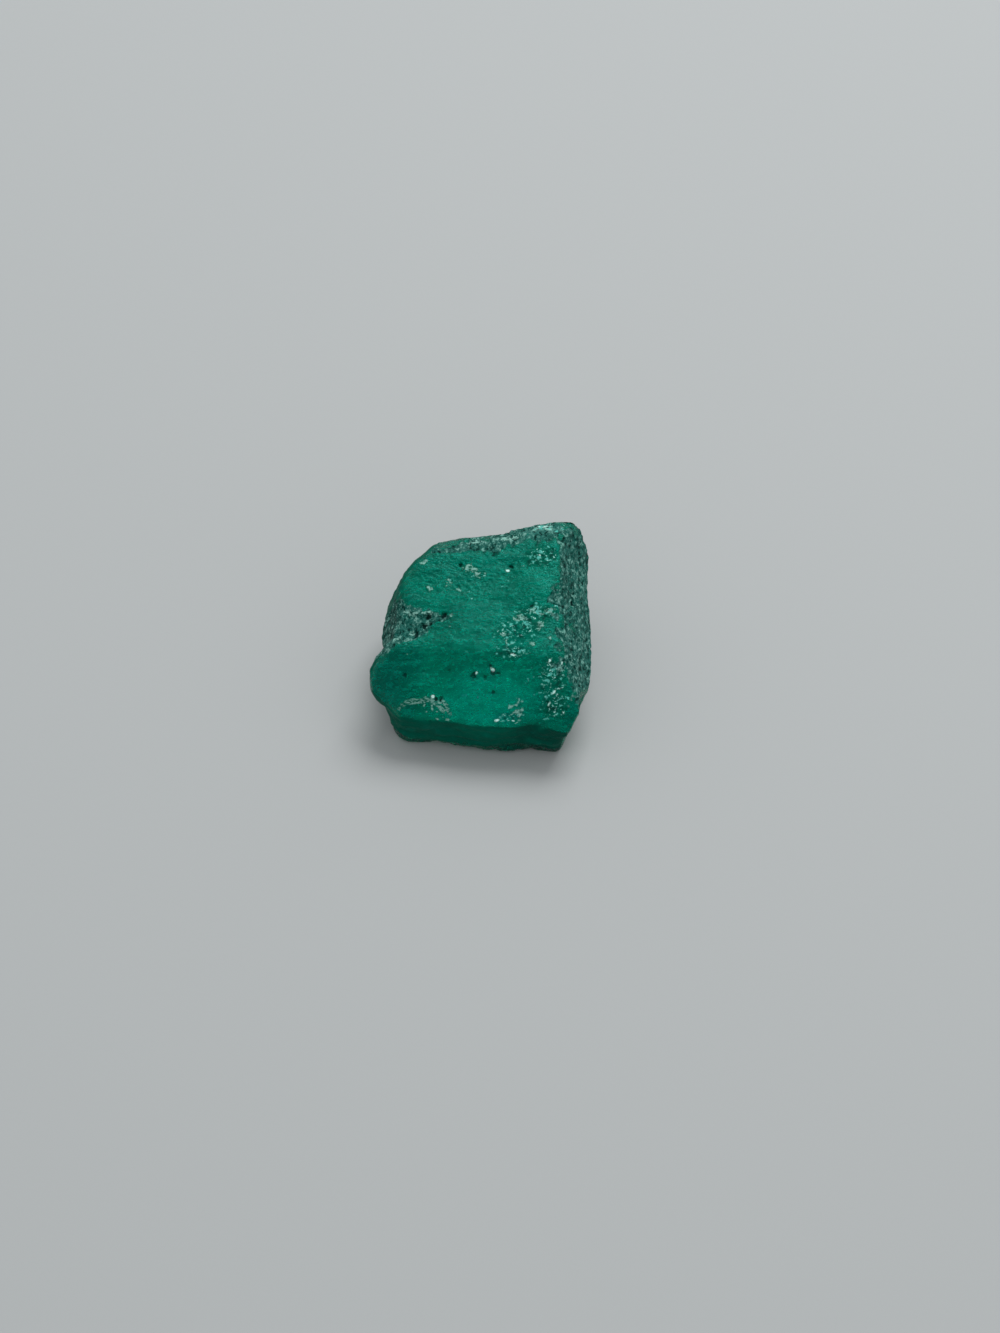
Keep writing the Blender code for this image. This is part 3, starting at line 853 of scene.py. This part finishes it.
class Nodes:
    """Builds the nodes of a material or a node group, and links them."""

    def __init__(self, tree):
        self.nodes = tree.nodes
        self.links = tree.links

    def node(self, kind, label, inputs=(), **values):
        """A node with a label, settings, and inputs that are values or other sockets."""
        made = self.nodes.new("ShaderNode" + kind)
        made.label = label
        for key, value in values.items():
            setattr(made, key, value)
        for key, value in dict(inputs).items():
            self.feed(made.inputs[key], value)
        return made

    def feed(self, socket, value):
        """Sets a socket to a value, or links it to another socket."""
        if isinstance(value, bpy.types.NodeSocket):
            self.links.new(value, socket)
        else:
            socket.default_value = value

    def millimetres(self):
        """The place on the stone, in millimetres."""
        place = self.node("TexCoord", "place").outputs["Object"]
        return self.node("VectorMath", "millimetres", operation="SCALE",
                         inputs={"Vector": place, "Scale": 1 / MM}).outputs[0]

    def share(self, name):
        """A share that the mesh carries at each point."""
        return self.node("Attribute", name, attribute_name=name).outputs["Fac"]

    def maths(self, operation, first, second=0.0, label=""):
        """One sum on two values."""
        made = self.node("Math", label, operation=operation)
        self.feed(made.inputs[0], first)
        self.feed(made.inputs[1], second)
        return made.outputs[0]

    def span(self, value, low, high, to_low=0.0, to_high=1.0, label=""):
        """A value taken from one span to another, and kept within it."""
        made = self.node("MapRange", label, interpolation_type="SMOOTHSTEP", inputs={
            "Value": value, "From Min": low, "From Max": high,
            "To Min": to_low, "To Max": to_high})
        return made.outputs["Result"]

    def over(self, below, above, share, label=""):
        """One colour laid over another by a share."""
        made = self.node("Mix", label, data_type="RGBA")
        self.feed(made.inputs["Factor"], share)
        self.feed(made.inputs[6], below)
        self.feed(made.inputs[7], above)
        return made.outputs[2]

    def layered(self, colour, *layers):
        """A colour with layers laid over it: each a colour, a share, a strength and a label."""
        for above, share, strength, label in layers:
            share = self.maths("MULTIPLY", share, strength)
            colour = self.over(colour, above, share, label)
        return colour

    def grain(self, where, waves, detail, label, stretch=EVEN):
        """Smooth noise at so many waves per mm."""
        mapping = self.node("Mapping", label, inputs={"Vector": where, "Scale": stretch})
        made = self.node("TexNoise", label, inputs={
            "Vector": mapping.outputs[0], "Scale": waves, "Detail": detail,
            "Roughness": GRAIN_ROUGHNESS})
        return made.outputs["Fac"]


def node_group(name, inputs, outputs):
    """An empty node group with named sockets: its tree, and its input and output nodes."""
    tree = bpy.data.node_groups.new(name, "ShaderNodeTree")
    for side, sockets in (("INPUT", inputs), ("OUTPUT", outputs)):
        for label, kind, value in sockets:
            socket = tree.interface.new_socket(
                label, in_out=side, socket_type="NodeSocket" + kind)
            if side == "INPUT":
                socket.default_value = value
    return tree, tree.nodes.new("NodeGroupInput"), tree.nodes.new("NodeGroupOutput")


def solid(colour):
    """A colour with full opacity."""
    return (*colour, 1.0)


def clouds_group(settings):
    """The stone's green: its placed shades, which are painted glow and painted shade, then
    clouds and streaks from deep to pale.
    """
    tree, given, result = node_group("Stone Clouds", (
        ("Body", "Color", solid(settings.body)), ("Deep", "Color", solid(settings.deep)),
        ("Pale", "Color", solid(settings.pale)), ("Contrast", "Float", 1.0)),
        (("Color", "Color", None),))
    make = Nodes(tree)
    body, deep, pale = (given.outputs[name] for name in ("Body", "Deep", "Pale"))
    where, shade = make.millimetres(), make.share("shade")
    cloud = make.grain(where, 0.8, 4, "clouds in the stone")
    streak = make.grain(where, 1.7, 4, "growth streaks", (0.45, 1.5, 1.5))
    contrast = given.outputs["Contrast"]
    # Painted glow where the shade is above 0, and painted shade where it is below 0.
    colour = make.over(body, pale, make.span(shade, 0.0, 0.9), "pale areas")
    colour = make.over(colour, deep, make.span(shade, 0.0, -1.0), "dark areas")
    colour = make.layered(
        colour,
        (deep, make.span(cloud, 0.50, 0.75, 0.0, 0.55), contrast, "deep clouds"),
        (pale, make.span(cloud, 0.47, 0.25, 0.0, 0.45), contrast, "pale clouds"),
        (deep, make.span(streak, 0.50, 0.72, 0.0, 0.50), contrast, "dark streaks"),
        (pale, make.span(streak, 0.46, 0.30, 0.0, 0.35), contrast, "pale streaks"))
    make.feed(result.inputs["Color"], colour)
    return tree


def grain_group():
    """Fine ground: light and dark specks, and the height that goes with them."""
    tree, given, result = node_group("Fine Grain", (
        ("Scale", "Float", 3.6), ("Stretch", "Vector", EVEN)),
        (("Light", "Float", None), ("Dark", "Float", None), ("Height", "Float", None)))
    make = Nodes(tree)
    where = make.node("VectorMath", "stretched", operation="MULTIPLY", inputs={
        0: make.millimetres(), 1: given.outputs["Stretch"]}).outputs[0]
    waves = given.outputs["Scale"]
    coarse = make.grain(where, waves, 5, "grain")
    fine = make.grain(where, make.maths("MULTIPLY", waves, FINER), 2, "fine grain")
    both = make.maths("ADD", make.maths("MULTIPLY", coarse, COARSE_SHARE),
                      make.maths("MULTIPLY", fine, 1 - COARSE_SHARE))
    make.feed(result.inputs["Light"], make.span(both, 0.51, 0.61))
    make.feed(result.inputs["Dark"], make.span(both, 0.49, 0.39))
    make.feed(result.inputs["Height"], both)
    return tree


def new_material(name):
    """A material, its node builder and its shader and output."""
    material = bpy.data.materials.new(name)
    material.use_nodes = True
    tree = material.node_tree
    return material, Nodes(tree), tree.nodes["Principled BSDF"], tree.nodes["Material Output"]


def fine_grain(make, grain, label, waves, stretch=EVEN):
    """The outputs of one fine grain placed in a material."""
    return make.node("Group", label, node_tree=grain, inputs={
        "Scale": waves, "Stretch": stretch}).outputs


def darkened(make, colour, settings, height):
    """A colour with painted shade laid over it in the ragged hollows and the low spots of the
    grain.
    """
    hollow = make.maths("ADD", make.share("hollow"), make.maths("MULTIPLY", height, -0.45))
    return make.over(colour, solid(settings.hollow), make.span(hollow, 0.25, 0.50, 0.0, 0.95),
                     "hollows")


def clear_finish(settings, clouds, grain):
    """The glassy breaks: deep clear green with a hammered surface."""
    material, make, surface, output = new_material("emerald_clear")
    green = make.node("Group", "clouds", node_tree=clouds).outputs["Color"]
    bumps = fine_grain(make, grain, "hammered", 3.3, (0.70, 1.20, 1.20))
    dashes = fine_grain(make, grain, "fine dashes", 6.5, (0.60, 1.30, 1.30))
    pale, deep = solid(settings.pale), solid(settings.deep)
    colour = make.layered(
        green,
        (pale, bumps["Light"], 0.48, "pale dashes"),
        (pale, dashes["Light"], 0.32, "fine pale dashes"),
        (deep, dashes["Dark"], 0.32, "fine dark dashes"),
        (deep, bumps["Dark"], 0.45, "dark dashes"))
    # Painted shade in the gaps between flecks.
    colour = make.over(colour, deep, make.share("gap_shade"), "gaps")
    colour = make.over(colour, solid(settings.gloom), make.share("under"), "steep front")
    colour = darkened(make, colour, settings, bumps["Height"])
    fine_relief = make.node("Bump", "fine relief", inputs={
        "Height": bumps["Height"], "Distance": settings.hammered_relief,
        "Strength": HAMMERED_STRENGTH})
    rough = make.span(bumps["Light"], 0.0, 1.0, settings.roughness, settings.worn_roughness,
                      "worn bumps")
    make.feed(surface.inputs["Base Color"], colour)
    make.feed(surface.inputs["Roughness"], rough)
    make.feed(surface.inputs["Normal"], fine_relief.outputs[0])
    surface.inputs["IOR"].default_value = settings.refraction
    surface.inputs["Transmission Weight"].default_value = settings.clearness
    surface.inputs["Specular IOR Level"].default_value = settings.shine
    surface.inputs["Specular Tint"].default_value = solid(settings.gloss)
    inside = make.node("VolumeAbsorption", "depth", inputs={
        "Color": solid(settings.depth_colour), "Density": settings.depth_density})
    make.links.new(inside.outputs[0], output.inputs["Volume"])
    return material


def speckled_frost(make, settings, clouds, specks, crumbs):
    """The colour of the frosted ground, and the share of light specks in it."""
    ground = make.node("Group", "etched ground", node_tree=clouds, inputs={
        "Body": solid(settings.frost), "Deep": solid(settings.frost_deep),
        "Pale": solid(settings.frost_pale)}).outputs["Color"]
    broken_up = make.span(crumbs["Height"], 0.36, 0.54, 0.35, 1.0)
    light = make.maths("MULTIPLY", specks["Light"], broken_up)
    light = make.maths("MAXIMUM", light, make.maths("MULTIPLY", crumbs["Light"], 0.30))
    dark = make.maths("MAXIMUM", specks["Dark"], make.maths("MULTIPLY", crumbs["Dark"], 0.45))
    colour = make.over(ground, solid(settings.frost_light), light, "light specks")
    return make.over(colour, solid(settings.frost_dark), dark, "dark specks"), light


def glittering(make, colour, settings, fine):
    """A colour with painted glints laid over it: flecks and bright points, and painted shade in
    the dark gaps between them.
    """
    painted_glint, glitter = solid(settings.painted_glint), make.share("glitter")
    sparkle = make.maths("MULTIPLY", glitter, make.span(fine, 0.52, 0.62))
    sparkle = make.maths("MAXIMUM", sparkle, make.share("fleck_glint"))
    gaps = make.maths("MULTIPLY", glitter, make.span(fine, 0.46, 0.36))
    gaps = make.maths("MAXIMUM", gaps, make.share("gap_shade"))
    colour = make.over(colour, solid(settings.fleck_glint), make.span(sparkle, 0.2, 0.8), "flecks")
    return make.layered(
        colour,
        (painted_glint, make.span(sparkle, 0.3, 0.9), make.span(fine, 0.58, 0.66), "glints"),
        (solid(settings.hollow), gaps, 0.8, "gaps"))


def frosted_finish(settings, clouds, grain):
    """Etched, bruised and crushed ground: grey green, speckled, whitish where it is bruised."""
    material, make, surface, _ = new_material("emerald_frosted")
    skin = make.node("Group", "skin", node_tree=clouds, inputs={
        "Body": solid(settings.skin), "Deep": solid(settings.skin_deep),
        "Pale": solid(settings.skin_pale), "Contrast": 0.45}).outputs["Color"]
    specks = fine_grain(make, grain, "specks", 4.0, (1.10, 0.75, 1.10))
    fine = fine_grain(make, grain, "fine specks", 6.5, (0.75, 1.2, 1.2))["Height"]
    crumbs = fine_grain(make, grain, "crumbs", 13.0)
    frost, light = speckled_frost(make, settings, clouds, specks, crumbs)
    colour = make.over(skin, frost, make.span(make.share("frost"), 0.2, 0.8), "frost")
    haze = make.share("haze")
    lacy = make.maths("ADD", haze, make.span(fine, 0.39, 0.61, -0.65, 0.35))
    colour = make.layered(colour, (
        solid(settings.haze), make.span(lacy, 0.15, 0.95), make.span(haze, 0.02, 0.20), "haze"))
    colour = glittering(make, colour, settings, fine)
    colour = darkened(make, colour, settings, specks["Height"])
    # Painted glints at the placed brightest points.
    colour = make.layered(colour, (
        solid(settings.painted_glint), make.span(make.share("painted_glint"), 0.3, 0.8),
        make.span(fine, 0.38, 0.50), "brightest points"))
    fine_relief = make.node("Bump", "fine relief", inputs={
        "Height": specks["Height"], "Distance": settings.speck_relief,
        "Strength": SPECK_STRENGTH})
    rough = make.span(light, 0.0, 1.0, settings.frost_roughness, settings.speck_roughness,
                      "frost roughness")
    make.feed(surface.inputs["Base Color"], colour)
    make.feed(surface.inputs["Roughness"], rough)
    make.feed(surface.inputs["Normal"], fine_relief.outputs[0])
    surface.inputs["IOR"].default_value = settings.refraction
    surface.inputs["Specular IOR Level"].default_value = settings.frost_shine
    surface.inputs["Specular Tint"].default_value = solid(settings.gloss)
    return material


class CRYSTAL_OT_surface(Operator):
    """Makes the weathered stone in place of the plain solid"""

    bl_idname = "crystal.surface"
    bl_label = "Weathered Stone"

    def execute(self, context):
        settings = context.scene.crystal
        stone = fine_copy(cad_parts[NODE], SURFACE, settings.crease, settings.levels)
        weather(stone, settings)
        clouds, grain = clouds_group(settings), grain_group()
        stone.data.materials.clear()
        stone.data.materials.append(clear_finish(settings, clouds, grain))
        stone.data.materials.append(frosted_finish(settings, clouds, grain))
        covered = covered_faces(stone.data)
        stone.data.polygons.foreach_set("material_index", covered.astype(np.int32))
        stone.data.shade_smooth()
        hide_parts(NODE)
        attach(stone, "root")
        return {"FINISHED"}


# ---------------------------------------------------------------------------- the stage

def floor(settings):
    """A wide plain floor, just under the stone."""
    data = bpy.data.meshes.new("floor")
    half = settings.floor_size / 2
    corners = [(x * half, y * half, -FLOOR_DROP)
               for x, y in ((-1, -1), (1, -1), (1, 1), (-1, 1))]
    data.from_pydata(corners, [], [(0, 1, 2, 3)])
    made = bpy.data.objects.new("floor", data)
    bpy.context.scene.collection.objects.link(made)
    material, _, surface, _ = new_material("floor")
    surface.inputs["Base Color"].default_value = solid(settings.floor)
    surface.inputs["Roughness"].default_value = settings.floor_roughness
    surface.inputs["Specular IOR Level"].default_value = settings.floor_shine
    data.materials.append(material)


def lamp(settings):
    """A large square lamp that faces the stone."""
    light = bpy.data.lights.new("soft_lamp", "AREA")
    light.size, light.energy = settings.lamp_size, settings.lamp_power
    made = bpy.data.objects.new("soft_lamp", light)
    made.location = Vector(facing(settings.lamp_turn, settings.lamp_height)) * LAMP_DISTANCE
    made.rotation_euler = (-made.location).to_track_quat("-Z", "Y").to_euler()
    made.visible_camera = False
    bpy.context.scene.collection.objects.link(made)


def surroundings(settings):
    """Even light from all round."""
    world = bpy.data.worlds.new("studio")
    world.use_nodes = True
    sky = world.node_tree.nodes["Background"]
    sky.inputs["Color"].default_value = solid(settings.sky)
    sky.inputs["Strength"].default_value = settings.sky_strength
    bpy.context.scene.world = world


def camera(settings):
    """Looks down at the stone from the front."""
    data = bpy.data.cameras.new("camera")
    data.lens, data.sensor_width, data.clip_start = settings.lens, FILM_WIDTH, MM
    made = bpy.data.objects.new("camera", data)
    made.location = settings.camera_place
    made.rotation_euler = (settings.camera_tilt, 0.0, 0.0)
    bpy.context.scene.collection.objects.link(made)
    bpy.context.scene.camera = made


class CRYSTAL_OT_stage(Operator):
    """Makes the floor, the soft light and the camera"""

    bl_idname = "crystal.stage"
    bl_label = "Studio Stage"

    def execute(self, context):
        settings = context.scene.crystal_stage
        floor(settings)
        lamp(settings)
        surroundings(settings)
        camera(settings)
        context.scene.view_settings.view_transform = "Standard"
        return {"FINISHED"}


class CRYSTAL_PT_panel(Panel):
    """Lists the stone and its stage"""

    bl_idname = "CRYSTAL_PT_panel"
    bl_label = "Raw Emerald Crystal"
    bl_space_type = "VIEW_3D"
    bl_region_type = "UI"
    bl_category = "Crystal"

    def draw(self, context):
        for settings, operator in ((context.scene.crystal, CRYSTAL_OT_surface),
                                   (context.scene.crystal_stage, CRYSTAL_OT_stage)):
            box = self.layout.box()
            for name in settings.__annotations__:
                box.prop(settings, name)
            box.operator(operator.bl_idname)


CLASSES = (CrystalSettings, StageSettings, CRYSTAL_OT_surface, CRYSTAL_OT_stage,
           CRYSTAL_PT_panel)


def register():
    """Registers the classes and hangs their settings on the scene."""
    for each in CLASSES:
        bpy.utils.register_class(each)
    bpy.types.Scene.crystal = PointerProperty(type=CrystalSettings)
    bpy.types.Scene.crystal_stage = PointerProperty(type=StageSettings)


def unregister():
    """Takes the settings and the classes away again."""
    del bpy.types.Scene.crystal_stage
    del bpy.types.Scene.crystal
    for each in reversed(CLASSES):
        bpy.utils.unregister_class(each)


def main():
    """Makes the stone and its stage."""
    register()
    bpy.ops.crystal.surface()
    bpy.ops.crystal.stage()


if __name__ == "__main__":
    main()
